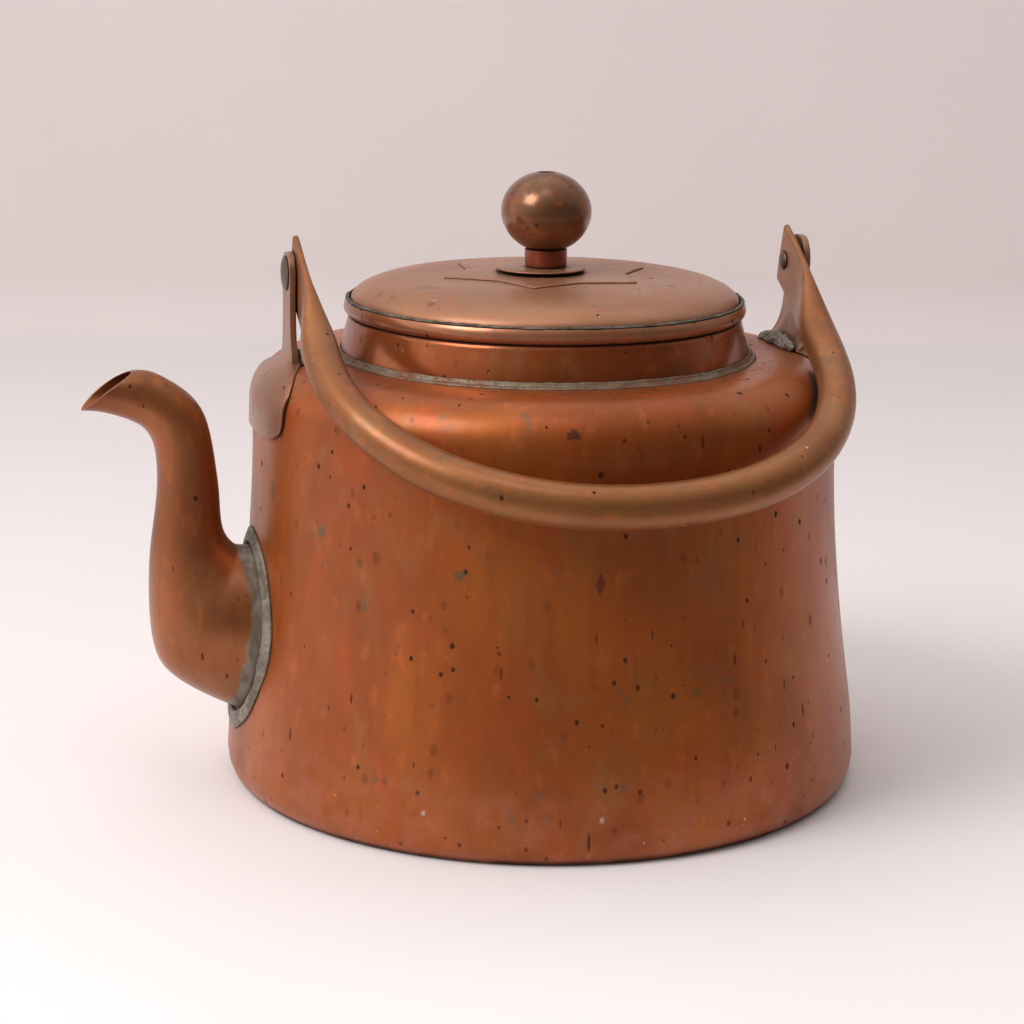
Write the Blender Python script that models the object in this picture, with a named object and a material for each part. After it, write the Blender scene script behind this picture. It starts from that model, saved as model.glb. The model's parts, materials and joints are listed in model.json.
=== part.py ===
"""Copper kettle: flared body, upright curved spout, lift-off lid and a hinged bail handle.

Units are metres and +Z is up. The origin is the middle of the base, on the floor. The spout points along -X.
The two lugs stand at -X (over the spout) and +X, and the handle hangs folded down on the -Y side.
"""

import math
from collections import namedtuple

import bmesh
import bpy
from mathutils import Vector

for old in list(bpy.data.objects):
    bpy.data.objects.remove(old, do_unlink=True)


# Driving dimensions -----------------------------------------------------------------------------------------

SHEET = 0.0012  # thickness of the copper sheet
GAP = 0.0003  # room left between neighbouring pieces

BASE_RADIUS = 0.125  # widest place, just above the rounded foot
FOOT_ROUND = 0.006  # how far the foot's edge rounds in
FOOT_HEIGHT = 0.010  # height at which the foot's rounding ends
BODY_HEIGHT = 0.1663  # flat top of the shoulder
NECK_RADIUS = 0.1128  # wall radius that the flare approaches
FLARE_HEIGHT = 0.066  # how slowly the flare dies away
FLARE_POWER = 1.6
SHOULDER_ROUND = 0.017  # radius of the shoulder's bend
PAN_LAP = 0.008  # how far the base pan's rim laps up inside the wall

COLLAR_FOOT_RADIUS = 0.0793
COLLAR_TOP_RADIUS = 0.0766
COLLAR_TOP = 0.1818
COLLAR_ROLL = 0.0022  # radius of the collar's rolled-in top edge
COLLAR_FLANGE = 0.006  # width of the flange under the shoulder
COLLAR_SOLDER_WIDTH = 0.0024
COLLAR_SOLDER_HEIGHT = 0.0018

LID_RIM_RADIUS = 0.0777
LID_RIM_HEIGHT = 0.0055
LID_DOME_RADIUS = 0.0757
LID_CROWN = 0.1974
LID_PLUG_DEPTH = 0.014
LID_EDGE_ROUND = 0.0012  # corners of the lid's rim
DOME_SPRING_DROP = 0.0008  # the dome starts to bend in this far below the rim's top
DOME_POWERS = (6.0, 0.55)  # flat in the middle, well rounded at the edge
SEAM_WIDTH = 0.0014
SEAM_HEIGHT = 0.0006
STAR_TIP_RADIUS = 0.0425
STAR_NOTCH_RADIUS = 0.031
STAR_POINTS = 6
STAR_TURN = math.radians(-51)  # direction of one of the star's points
PLATE = 0.0008  # thickness of the star and of the washers
INNER_WASHER_RADIUS = 0.011

KNOB_RADIUS = 0.0175
KNOB_HALF_HEIGHT = 0.0156
KNOB_CENTRE = 0.2213
NECK_TUBE_RADIUS = 0.0082
NECK_TAPER = 0.97  # the neck's foot, as a share of its radius
NECK_TAPER_HEIGHT = 0.003
KNOB_WASHER_RADIUS = 0.0175
KNOB_WASHER_SHIFT = -0.0021  # its rim is cut off centre, along X
ROD_RADIUS = 0.0028
ROD_HEAD_HEIGHT = 0.0018
ROD_TOP_DROP = 0.0012  # the rod's top lies below the knob's

PIVOT_HEIGHT = 0.200
HANDLE_BOW_REACH = 0.0967  # half the bow's span, which is a little less than that of the two ends
HANDLE_STRAIGHT = 0.0565  # length of the straight arms, from the pivots
HANDLE_BOW = 0.0867  # how far the bow reaches past the arms
HANDLE_BOW_POWERS = (2.05, 2.23)  # front and rear half: 2 is an ellipse, more is squarer
HANDLE_ARM_RADIUS = 0.0072
HANDLE_BOW_RADIUS = 0.0084
HANDLE_REST = math.radians(118)  # rest position, measured from upright
END_HALF_THICKNESS = 0.0014  # the tube is flattened at its two ends
END_HALF_WIDTH = 0.0117
END_BEYOND_PIVOT = 0.0080
END_CORNER = 0.0090  # rounding of the flattened end's lower corner
FLAT_LENGTH = 0.018  # from the pivot to where the flat end begins to round out
FLAT_FADE = 0.030  # length over which it rounds out
BOW_THICKENS = 0.38  # share of half the handle over which its tube grows from the arm's to the bow's radius

LUG_THICKNESS = 0.0025
LUG_HEAD_END = math.radians(72)  # the head's rounding stops here, with a short flat on top
LUG_WAIST_HEIGHT = 0.188
LUG_ROOT_FADE = 0.006  # how slowly the flared root dies away upwards
LUG_ROOT_HEIGHT = 0.1693
# The two hand-made lugs differ. Each has its side of the kettle, the distance of the handle's end from the
# kettle's axis, the radius of its head, half widths of its waist and root, and its outward lean as a slope.
Lug = namedtuple("Lug", "side reach head waist root lean")
FRONT_LUG = Lug(side=-1, reach=0.0974, head=0.0085, waist=0.0075, root=0.0110, lean=0.0)
REAR_LUG = Lug(side=1, reach=0.0995, head=0.0108, waist=0.0090, root=0.0190, lean=0.05)
SHIELD_STANDOFF = 0.0005  # space between the shield and the shoulder
SHIELD_THICKNESS = 0.0012
SHIELD_HALF_ANGLE = math.radians(17)
SHIELD_BOTTOM = 0.1393
SHIELD_END = 0.95  # share of the shield's length at which its bottom edge is cut off
LUG_SOLDER_DEPTH = 0.0048
LUG_SOLDER_HEIGHT = 0.0045
RIVET_SHANK_RADIUS = 0.0025
RIVET_HOLE_RADIUS = 0.0031
RIVET_HEAD_RADIUS = 0.0068
RIVET_HEAD_HEIGHT = 0.0014
RIVET_TAIL_SCALE = 0.55  # the inner head, as a share of the outer one
RIVET_DOME_END = math.radians(65)

# The spout stands on the wall as a tall oval, narrows above its belly to a round throat and bends outward to a
# slanted mouth. Each section has its upper and its lower edge as (distance from the kettle's axis, height), and
# half its breadth. The surface runs smoothly through them.
Section = namedtuple("Section", "upper lower half_breadth")
SPOUT_ROOT = Section((0.116, 0.096), (0.124, 0.030), 0.027)
SPOUT_HEEL = Section((0.119, 0.096), (0.145, 0.042), 0.025)
SPOUT_BELLY = Section((0.1225, 0.097), (0.155, 0.056), 0.0215)
SPOUT_WAIST = Section((0.127, 0.104), (0.156, 0.089), 0.015)
SPOUT_THROAT = Section((0.1285, 0.123), (0.152, 0.121), 0.012)
SPOUT_BEND = Section((0.134, 0.150), (0.155, 0.141), 0.011)
SPOUT_LIP = Section((0.1505, 0.1635), (0.1695, 0.1485), 0.0095)
SPOUT_MOUTH = Section((0.1595, 0.165), (0.180, 0.150), 0.0085)
SPOUT_SECTIONS = (
    SPOUT_ROOT, SPOUT_HEEL, SPOUT_BELLY, SPOUT_WAIST, SPOUT_THROAT, SPOUT_BEND, SPOUT_LIP, SPOUT_MOUTH
)
SPOUT_STEPS = 22
SPOUT_HOLE_SCALE = 0.62  # the hole in the body's wall, next to the spout's root
SPOUT_MOUTH_BULGE = 0.0011  # the mouth's two sides stand this much above its plane
SPOUT_SOLDER_WIDTH = 0.0065
SPOUT_SOLDER_TAIL = 0.004  # extra width at the bottom
SPOUT_SOLDER_HEIGHT = 0.0017
BASE_SOLDER_WIDTH = 0.0022

ROUND_STEPS = 48  # facets round the large turned pieces
KNOB_STEPS = 32
SMALL_STEPS = 16
TUBE_STEPS = 14
SHARP_ANGLE = math.radians(35)

# Finishes: colour, then roughness. All are metal.
WALL_COPPER = ((0.43, 0.15, 0.05), 0.38)
BASE_COPPER = ((0.20, 0.09, 0.05), 0.55)
COLLAR_COPPER = ((0.45, 0.13, 0.04), 0.30)
SPOUT_COPPER = ((0.33, 0.13, 0.06), 0.40)
LUG_COPPER = ((0.36, 0.19, 0.12), 0.42)
HANDLE_COPPER = ((0.38, 0.19, 0.09), 0.36)
LID_COPPER = ((0.40, 0.22, 0.14), 0.42)
KNOB_COPPER = ((0.28, 0.12, 0.06), 0.30)
RIVET_COPPER = ((0.16, 0.12, 0.08), 0.50)
SOLDER = ((0.35, 0.34, 0.29), 0.58)


# Meshes -----------------------------------------------------------------------------------------------------


def metal(name, finish):
    """A metal material with one colour, for a sub-part."""
    colour, roughness = finish
    made = bpy.data.materials.new(name)
    made.use_nodes = True
    shader = made.node_tree.nodes["Principled BSDF"]
    shader.inputs["Base Color"].default_value = (*colour, 1.0)
    shader.inputs["Roughness"].default_value = roughness
    shader.inputs["Metallic"].default_value = 1.0
    return made


def add_body(name, points, faces, finish):
    """One closed body as an object, faces outward, smooth except at its sharp edges."""
    mesh = bpy.data.meshes.new(name)
    mesh.from_pydata([tuple(point) for point in points], [], faces)
    grown = bmesh.new()
    grown.from_mesh(mesh)
    bmesh.ops.recalc_face_normals(grown, faces=grown.faces)
    grown.to_mesh(mesh)
    grown.free()
    mesh.shade_smooth()
    mesh.set_sharp_from_angle(angle=SHARP_ANGLE)
    mesh.materials.append(metal(name + "_finish", finish))
    body = bpy.data.objects.new(name, mesh)
    bpy.context.scene.collection.objects.link(body)
    return body


def turned(outline, steps):
    """Points and faces of a closed outline of (radius, height) pairs, turned about the Z axis."""
    points = []
    rows = []
    for radius, height in outline:
        first = len(points)
        if radius == 0:
            points.append((0.0, 0.0, height))
            rows.append([first] * steps)
            continue
        for step in range(steps):
            angle = math.tau * step / steps
            points.append((radius * math.cos(angle), radius * math.sin(angle), height))
        rows.append(list(range(first, first + steps)))
    faces = []
    for row, following in zip(rows, rows[1:] + rows[:1]):
        for step in range(steps):
            after = (step + 1) % steps
            corners = list(dict.fromkeys([row[step], row[after], following[after], following[step]]))
            if len(corners) > 2:
                faces.append(corners)
    return points, faces


def lofted(loops, around=False):
    """Points and faces of a skin over equal loops of points, capped or closed into a ring."""
    count = len(loops[0])
    points = [point for loop in loops for point in loop]
    faces = []
    last = len(loops) if around else len(loops) - 1
    for row in range(last):
        here = row * count
        there = (row + 1) % len(loops) * count
        for step in range(count):
            after = (step + 1) % count
            faces.append([here + step, here + after, there + after, there + step])
    if not around:
        faces.append(list(range(count)))
        faces.append(list(range(here + count, here + 2 * count)))
    return points, faces


def sheet(front, back):
    """Points and faces of a sheet between two equal grids of points, with quads round its edge."""
    rows = len(front)
    columns = len(front[0])
    points = [point for grid in (front, back) for row in grid for point in row]
    far = rows * columns
    faces = []
    for row in range(rows - 1):
        for column in range(columns - 1):
            corner = row * columns + column
            quad = [corner, corner + 1, corner + columns + 1, corner + columns]
            faces.append(quad)
            faces.append([far + index for index in quad])
    rim = list(range(columns)) + [row * columns + columns - 1 for row in range(1, rows)]
    rim += [(rows - 1) * columns + column for column in reversed(range(columns - 1))]
    rim += [row * columns for row in reversed(range(1, rows - 1))]
    for here, there in zip(rim, rim[1:] + rim[:1]):
        faces.append([here, there, far + there, far + here])
    return points, faces


def between(low, high, steps):
    """Evenly spaced values from low to high, both included."""
    return [low + (high - low) * step / steps for step in range(steps + 1)]


def smooth_step(share):
    """A soft ramp from 0 to 1."""
    share = min(max(share, 0.0), 1.0)
    return share * share * (3 - 2 * share)


def spline(values, place):
    """Catmull-Rom interpolation through equally spaced values, each a tuple of numbers."""
    index = min(int(place), len(values) - 2)
    share = place - index
    before = values[max(index - 1, 0)]
    after = values[min(index + 2, len(values) - 1)]
    mixed = []
    for p0, p1, p2, p3 in zip(before, values[index], values[index + 1], after):
        bend = (2 * p0 - 5 * p1 + 4 * p2 - p3) * share**2 + (3 * p1 - p0 - 3 * p2 + p3) * share**3
        mixed.append(0.5 * (2 * p1 + (p2 - p0) * share + bend))
    return mixed


def cut(body, cutter):
    """Takes a hidden cutter's shape out of a body."""
    cutter.hide_render = True
    cutter.display_type = "WIRE"
    hole = body.modifiers.new(cutter.name, "BOOLEAN")
    hole.operation = "DIFFERENCE"
    hole.object = cutter


def drill(body, name, centre, radius, length, breadth_scale=1.0):
    """Cuts a hole along the X axis. Its breadth along Y may differ from its height."""
    bore = [(0, -length / 2), (radius, -length / 2), (radius, length / 2), (0, length / 2)]
    points, faces = turned(bore, SMALL_STEPS)
    placed = [(z + centre[0], y * breadth_scale + centre[1], x + centre[2]) for x, y, z in points]
    cut(body, add_body(name, placed, faces, SOLDER))


# Body -------------------------------------------------------------------------------------------------------


def wall_radius(height):
    """Outer radius of the body's wall, which flares towards the foot."""
    rise = max(height - FOOT_HEIGHT, 0.0) / FLARE_HEIGHT
    return NECK_RADIUS + (BASE_RADIUS - NECK_RADIUS) * math.exp(-(rise**FLARE_POWER))


SHOULDER_HEIGHT = BODY_HEIGHT - SHOULDER_ROUND
SHOULDER_RADIUS = wall_radius(SHOULDER_HEIGHT) - SHOULDER_ROUND


def shell_line(inset):
    """The body's wall and shoulder from bottom to collar, that far inside the outer surface."""
    line = []
    for height in between(FOOT_HEIGHT + GAP, SHOULDER_HEIGHT, 8)[:-1]:
        line.append((wall_radius(height) - inset, height))
    for angle in between(0, math.pi / 2, 5):
        reach = SHOULDER_ROUND - inset
        line.append((SHOULDER_RADIUS + reach * math.cos(angle), SHOULDER_HEIGHT + reach * math.sin(angle)))
    line.append((COLLAR_FOOT_RADIUS + GAP, BODY_HEIGHT - inset))
    return line


def body_shell():
    """Wall and shoulder, raised from one sheet, with the hole for the spout."""
    points, faces = turned(shell_line(0) + shell_line(SHEET)[::-1], ROUND_STEPS)
    shell = add_body("body_shell", points, faces, WALL_COPPER)
    upper, lower, half_breadth = SPOUT_ROOT
    middle = (upper[1] + lower[1]) / 2
    half_height = (upper[1] - lower[1]) / 2 * SPOUT_HOLE_SCALE
    breadth_scale = half_breadth * SPOUT_HOLE_SCALE / half_height
    centre = (-wall_radius(middle), 0, middle)
    drill(shell, "spout_hole", centre, half_height, 20 * SHEET, breadth_scale)


def base_pan():
    """Flat base with a rounded foot. Its rim steps in and laps up inside the wall."""
    lap_top = FOOT_HEIGHT + PAN_LAP
    flat = BASE_RADIUS - FOOT_ROUND
    outline = [(0, 0)]
    for angle in between(-math.pi / 2, 0, 4):
        reach = FOOT_ROUND * math.cos(angle)
        outline.append((flat + reach, FOOT_HEIGHT + FOOT_HEIGHT * math.sin(angle)))
    lap = [wall_radius(height) - SHEET - GAP for height in (FOOT_HEIGHT, lap_top)]
    outline += [(lap[0], FOOT_HEIGHT), (lap[1], lap_top)]
    outline += [(lap[1] - SHEET, lap_top), (lap[0] - SHEET, FOOT_HEIGHT)]
    for angle in between(0, -math.pi / 2, 4)[1:]:
        reach = (FOOT_ROUND - 2 * SHEET) * math.cos(angle)
        outline.append((flat - GAP + reach, FOOT_HEIGHT + (FOOT_HEIGHT - SHEET) * math.sin(angle)))
    outline.append((0, SHEET))
    points, faces = turned(outline, ROUND_STEPS)
    add_body("base_pan", points, faces, BASE_COPPER)


def base_solder():
    """Tin fillet inside, above the base pan's rim."""
    low = FOOT_HEIGHT + PAN_LAP + GAP
    high = low + BASE_SOLDER_WIDTH
    reach = wall_radius(high) - SHEET - GAP
    outline = [(reach, low), (reach, high), (reach - BASE_SOLDER_WIDTH, low)]
    points, faces = turned(outline, ROUND_STEPS)
    add_body("base_solder", points, faces, SOLDER)


# Collar -----------------------------------------------------------------------------------------------------


LIP_RADIUS = COLLAR_TOP_RADIUS - COLLAR_ROLL  # inner edge of the collar's rolled lip


def collar():
    """Tapered ring in the shoulder's opening, with a rolled-in lip and a flange under the shoulder."""
    flange_top = BODY_HEIGHT - SHEET - GAP
    flange_edge = COLLAR_FOOT_RADIUS + COLLAR_FLANGE
    roll_height = COLLAR_TOP - COLLAR_ROLL
    outline = []
    for reach, angles in ((COLLAR_ROLL - SHEET, (0, 45, 90)), (COLLAR_ROLL, (90, 60, 30, 0))):
        for angle in map(math.radians, angles):
            outline.append((LIP_RADIUS + reach * math.cos(angle), roll_height + reach * math.sin(angle)))
    outline += [
        (COLLAR_FOOT_RADIUS, BODY_HEIGHT),
        (COLLAR_FOOT_RADIUS, flange_top),
        (flange_edge, flange_top),
        (flange_edge, flange_top - SHEET),
        (COLLAR_FOOT_RADIUS - SHEET, flange_top - SHEET),
        (COLLAR_FOOT_RADIUS - SHEET, BODY_HEIGHT),
    ]
    points, faces = turned(outline, ROUND_STEPS)
    add_body("collar", points, faces, COLLAR_COPPER)


def collar_solder():
    """Fillet of solder round the collar's foot, on the shoulder."""
    low = BODY_HEIGHT + GAP
    inner = COLLAR_FOOT_RADIUS + GAP
    outline = [(inner, low)]
    for angle in between(0, math.pi / 2, 2):
        radius = inner + COLLAR_SOLDER_WIDTH * (1 - math.sin(angle))
        outline.append((radius, low + COLLAR_SOLDER_HEIGHT * (1 - math.cos(angle))))
    points, faces = turned(outline, ROUND_STEPS)
    add_body("collar_solder", points, faces, SOLDER)


# Spout ------------------------------------------------------------------------------------------------------


def on_wall(across, height, standoff):
    """The point on the body's -X side at that distance across and that height, off the wall by standoff."""
    reach = math.sqrt((wall_radius(height) + standoff) ** 2 - across**2)
    return Vector((-reach, across, height))


def root_point(angle, margin, standoff):
    """A point on the wall round the spout's root ellipse, which is grown by margin."""
    upper, lower, half_breadth = SPOUT_ROOT
    half_height = (upper[1] - lower[1]) / 2 + margin
    height = (upper[1] + lower[1]) / 2 + half_height * math.cos(angle)
    return on_wall((half_breadth + margin) * math.sin(angle), height, standoff)


def spout_loop(place, inset):
    """The spout's cross-section at a place along its sections, drawn in by inset."""
    angles = [math.tau * step / TUBE_STEPS for step in range(TUBE_STEPS)]
    if place == 0:
        return [root_point(angle, -inset, GAP) for angle in angles]
    flat = [(*upper, *lower, half_breadth) for upper, lower, half_breadth in SPOUT_SECTIONS]
    upper_s, upper_z, lower_s, lower_z, half_breadth = spline(flat, place)
    upper = Vector((-upper_s, 0, upper_z))
    lower = Vector((-lower_s, 0, lower_z))
    middle = (upper + lower) / 2
    reach = (upper - lower) / 2
    reach *= 1 - inset / reach.length
    across = Vector((0, half_breadth - inset, 0))
    outward = Vector((-reach.z, 0, reach.x)).normalized()
    bulge = outward * SPOUT_MOUTH_BULGE * smooth_step(place - len(SPOUT_SECTIONS) + 2)
    return [middle + reach * math.cos(a) + across * math.sin(a) + bulge * math.sin(a) ** 2 for a in angles]


def spout():
    """Hollow spout, open at its mouth and at its root on the body's wall."""
    places = between(0, len(SPOUT_SECTIONS) - 1, SPOUT_STEPS)
    loops = [spout_loop(place, 0) for place in places]
    loops += [spout_loop(place, SHEET) for place in reversed(places)]
    points, faces = lofted(loops, around=True)
    add_body("spout", points, faces, SPOUT_COPPER)


def spout_solder():
    """Uneven band of solder on the wall, all round the spout's root, longest at the bottom."""
    loops = []
    for step in range(KNOB_STEPS):
        angle = math.tau * step / KNOB_STEPS
        uneven = 0.8 + 0.12 * math.sin(3 * angle + 0.6) + 0.08 * math.sin(7 * angle)
        width = SPOUT_SOLDER_WIDTH * uneven
        width += SPOUT_SOLDER_TAIL * max(-math.cos(angle), 0.0) ** 8
        loops.append(
            [
                root_point(angle, 2 * GAP, GAP),
                root_point(angle, width, GAP),
                root_point(angle, width * 0.7, SPOUT_SOLDER_HEIGHT / 2),
                root_point(angle, 4 * GAP, SPOUT_SOLDER_HEIGHT),
            ]
        )
    points, faces = lofted(loops, around=True)
    add_body("spout_solder", points, faces, SOLDER)


# Lugs -------------------------------------------------------------------------------------------------------

LUG_INNER = END_HALF_THICKNESS + GAP  # faces of a lug, from the middle of the handle's end
LUG_OUTER = LUG_INNER + LUG_THICKNESS
FOOT_INNER_ANGLE = math.radians(82)  # where the foot's two faces meet the shoulder's bend
FOOT_OUTER_ANGLE = math.radians(70)


def lug_half_width(shape, height):
    """Half width of the upright part of a lug: round head, waist and flared root."""
    if height > PIVOT_HEIGHT:
        return math.sqrt(max(shape.head**2 - (height - PIVOT_HEIGHT) ** 2, 0.0))
    rise = (height - LUG_WAIST_HEIGHT) / (PIVOT_HEIGHT - LUG_WAIST_HEIGHT)
    head = (shape.head - shape.waist) * smooth_step(rise)
    root = (shape.root - shape.waist) * math.exp(-(height - LUG_ROOT_HEIGHT) / LUG_ROOT_FADE)
    return shape.waist + head + root


def shield_half_angle(shape, share):
    """Half angle of the shield about the kettle's axis, from its root (0) to its bottom edge (1)."""
    if share > 0.5:
        return SHIELD_HALF_ANGLE * math.sqrt(1 - (2 * share - 1) ** 6)
    root_angle = math.asin(shape.root / shape.reach)
    return root_angle + (SHIELD_HALF_ANGLE - root_angle) * math.sin(math.pi * share)


def shield_line(share, standoff, first_angle):
    """(radius, height) along the shield, over the shoulder's bend and then down the wall."""
    reach = SHOULDER_ROUND + standoff
    bend = reach * first_angle
    drop = SHOULDER_HEIGHT - SHIELD_BOTTOM
    travelled = share * (bend + drop)
    if travelled < bend:
        angle = first_angle - travelled / reach
        return SHOULDER_RADIUS + reach * math.cos(angle), SHOULDER_HEIGHT + reach * math.sin(angle)
    height = SHOULDER_HEIGHT - (travelled - bend)
    return wall_radius(height) + standoff, height


def lug_face(shape, inner, height):
    """How far a lug's inner or outer face stands from the kettle's axis at a height."""
    lean = shape.lean * max(height - LUG_ROOT_HEIGHT, 0.0)
    return shape.reach + (LUG_INNER if inner else LUG_OUTER) + lean


def lug_strip(shape, inner, across):
    """One strip of points down a lug's face, from its head to the shield's bottom, at a share across it."""
    standoff = SHIELD_STANDOFF + (0 if inner else SHIELD_THICKNESS)
    first_angle = FOOT_INNER_ANGLE if inner else FOOT_OUTER_ANGLE
    strip = []
    for angle in between(LUG_HEAD_END, 0, 4):
        height = PIVOT_HEIGHT + shape.head * math.sin(angle)
        strip.append(Vector((lug_face(shape, inner, height), across * lug_half_width(shape, height), height)))
    for height in between(PIVOT_HEIGHT, LUG_ROOT_HEIGHT, 7)[1:]:
        strip.append(Vector((lug_face(shape, inner, height), across * lug_half_width(shape, height), height)))
    for share in between(0, SHIELD_END, 12):
        radius, height = shield_line(share, standoff, first_angle)
        angle = across * shield_half_angle(shape, share)
        strip.append(Vector((radius * math.cos(angle), radius * math.sin(angle), height)))
    return strip


def lug(name, shape):
    """Lug for one end of the handle: upright plate whose foot spreads into a shield over the shoulder."""
    shares = between(-1, 1, 8)
    outer = [lug_strip(shape, False, across) for across in shares]
    inner = [lug_strip(shape, True, across) for across in shares]
    points, faces = sheet(outer, inner)
    placed = [(shape.side * point.x, point.y, point.z) for point in points]
    body = add_body(name, placed, faces, LUG_COPPER)
    centre = (shape.side * (shape.reach + LUG_OUTER), 0, PIVOT_HEIGHT)
    drill(body, name + "_hole", centre, RIVET_HOLE_RADIUS, 4 * LUG_THICKNESS)


def lug_solder(name, shape):
    """Lump of solder on the shoulder, along the inner side of a lug's foot."""
    foot_radius = shield_line(0, SHIELD_STANDOFF, FOOT_INNER_ANGLE)[0]
    loops = []
    for share in between(-1, 1, 10):
        across = share * shape.root * 0.95
        size = math.sqrt(1 - 0.9 * share**2)
        near = min(shape.reach + LUG_INNER, math.sqrt(foot_radius**2 - across**2)) - 2 * GAP
        low = BODY_HEIGHT + GAP
        depth = LUG_SOLDER_DEPTH * size * (1 + 0.15 * math.sin(9 * share))
        rise = LUG_SOLDER_HEIGHT * size * (1 + 0.2 * math.sin(13 * share + 1))
        ridge = (near - depth * 0.5, low + rise * 0.7)
        section = [(near, low), (near, low + rise), ridge, (near - depth, low)]
        loops.append([Vector((shape.side * x, across, z)) for x, z in section])
    points, faces = lofted(loops)
    add_body(name, points, faces, SOLDER)


def pivot_rivet(name, shape):
    """Rivet through a lug and the handle's end. The handle turns on its shank."""
    outer = lug_face(shape, False, PIVOT_HEIGHT + RIVET_HEAD_RADIUS) + GAP
    inner = shape.reach - END_HALF_THICKNESS - GAP
    tail = RIVET_HEAD_RADIUS * RIVET_TAIL_SCALE
    outline = [(0, outer + RIVET_HEAD_HEIGHT)]
    for angle in between(RIVET_DOME_END, 0, 3):
        outline.append((RIVET_HEAD_RADIUS * math.cos(angle), outer + RIVET_HEAD_HEIGHT * math.sin(angle)))
    outline += [(RIVET_SHANK_RADIUS, outer), (RIVET_SHANK_RADIUS, inner)]
    for angle in between(0, RIVET_DOME_END, 3):
        outline.append((tail * math.cos(angle), inner - RIVET_HEAD_HEIGHT * math.sin(angle)))
    outline.append((0, inner - RIVET_HEAD_HEIGHT))
    points, faces = turned(outline, SMALL_STEPS)
    rivet = add_body(name, points, faces, RIVET_COPPER)
    rivet.rotation_euler = (0, shape.side * math.pi / 2, 0)
    rivet.location = (0, 0, PIVOT_HEIGHT)


# Handle -----------------------------------------------------------------------------------------------------


def end_edge(across):
    """Where the flattened end stops: square at its upper corner and round at its lower one."""
    inside = max(-across - (END_HALF_WIDTH - END_CORNER), 0.0)
    return END_CORNER - END_BEYOND_PIVOT - math.sqrt(END_CORNER**2 - min(inside, END_CORNER) ** 2)


def handle_point(place, shape, power):
    """(sideways, along) on the centreline of half of the handle, from its end (0) to its top (1)."""
    if place < 0.5:
        along = HANDLE_STRAIGHT - (HANDLE_STRAIGHT + END_BEYOND_PIVOT) * (1 - 2 * place)
        splay = (shape.reach - HANDLE_BOW_REACH) * smooth_step(1 - along / HANDLE_STRAIGHT)
        return Vector((HANDLE_BOW_REACH + splay, along))
    turn = min((2 * place - 1) * math.pi / 2, math.pi / 2)
    sideways = HANDLE_BOW_REACH * max(math.cos(turn), 0.0) ** (2 / power)
    return Vector((sideways, HANDLE_STRAIGHT + HANDLE_BOW * math.sin(turn) ** (2 / power)))


def handle_loop(place, shape, inset):
    """One cross-section of the handle, round on the bow and pressed flat at the ends."""
    power = HANDLE_BOW_POWERS[shape.side > 0]
    step = 0.002
    middle = handle_point(place, shape, power)
    following = handle_point(min(place + step, 1), shape, power)
    ahead = following - handle_point(max(place - step, 0), shape, power)
    sideways = Vector((ahead.y, -ahead.x)).normalized() if place < 1 else Vector((0, 1))
    flat = 1 - smooth_step((middle.y - FLAT_LENGTH) / FLAT_FADE)
    growth = smooth_step((place - 0.5) / BOW_THICKENS)
    radius = HANDLE_ARM_RADIUS + (HANDLE_BOW_RADIUS - HANDLE_ARM_RADIUS) * growth
    thickness = radius + (END_HALF_THICKNESS - radius) * flat
    width = radius + (END_HALF_WIDTH - radius) * flat
    straight = width - thickness
    reach = max(thickness - inset, GAP / 2)
    loop = []
    for corner in range(TUBE_STEPS):
        angle = math.tau * (corner + 0.5) / TUBE_STEPS
        up = reach * math.sin(angle) + math.copysign(straight, math.sin(angle))
        point = middle + sideways * reach * math.cos(angle)
        if middle.y < FLAT_LENGTH:
            share = (FLAT_LENGTH - middle.y) / (FLAT_LENGTH + END_BEYOND_PIVOT)
            point.y += share * (end_edge(up) + END_BEYOND_PIVOT)
        loop.append(Vector((shape.side * point.x, up, point.y)))
    return loop


def handle_tube():
    """Bail of rolled tube. It is modelled upright about its hinge line and then folded down to rest."""
    half = between(0, 0.5, 9) + between(0.5, 1, 9)[1:]
    places = [(place, REAR_LUG) for place in half] + [(place, FRONT_LUG) for place in reversed(half[:-1])]
    loops = [handle_loop(place, shape, 0) for place, shape in places]
    loops += [handle_loop(place, shape, SHEET) for place, shape in reversed(places)]
    points, faces = lofted(loops, around=True)
    bail = add_body("handle_tube", points, faces, HANDLE_COPPER)
    bail.rotation_euler = (HANDLE_REST, 0, 0)
    bail.location = (0, 0, PIVOT_HEIGHT)
    for name, shape in (("front_pivot_hole", FRONT_LUG), ("rear_pivot_hole", REAR_LUG)):
        centre = (shape.side * shape.reach, 0, PIVOT_HEIGHT)
        drill(bail, name, centre, RIVET_HOLE_RADIUS, 5 * END_HALF_THICKNESS)


# Lid --------------------------------------------------------------------------------------------------------

LID_BOTTOM = COLLAR_TOP + GAP  # underside of the rim, resting on the collar's lip
RIM_TOP = LID_BOTTOM + LID_RIM_HEIGHT
DOME_EDGE = LID_BOTTOM + SHEET + GAP
DOME_SPRING = RIM_TOP - DOME_SPRING_DROP


def dome_height(radius):
    """Height of the dome's outer surface at a radius."""
    share = min(radius / LID_DOME_RADIUS, 1.0)
    return DOME_SPRING + (LID_CROWN - DOME_SPRING) * (1 - share ** DOME_POWERS[0]) ** DOME_POWERS[1]


def dome_line(inset):
    """(radius, height) over the dome from its hole to its edge, that far inside the outer surface."""
    line = []
    for share in (0, 0.4, 0.65, 0.8, 0.9, 0.96, 0.99):
        hole = ROD_RADIUS + GAP
        radius = hole + (LID_DOME_RADIUS - hole) * share
        line.append((radius * (1 - inset / LID_DOME_RADIUS), dome_height(radius) - inset))
    line.append((LID_DOME_RADIUS - inset, DOME_SPRING - inset))
    line.append((LID_DOME_RADIUS - inset, DOME_EDGE))
    return line


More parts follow.
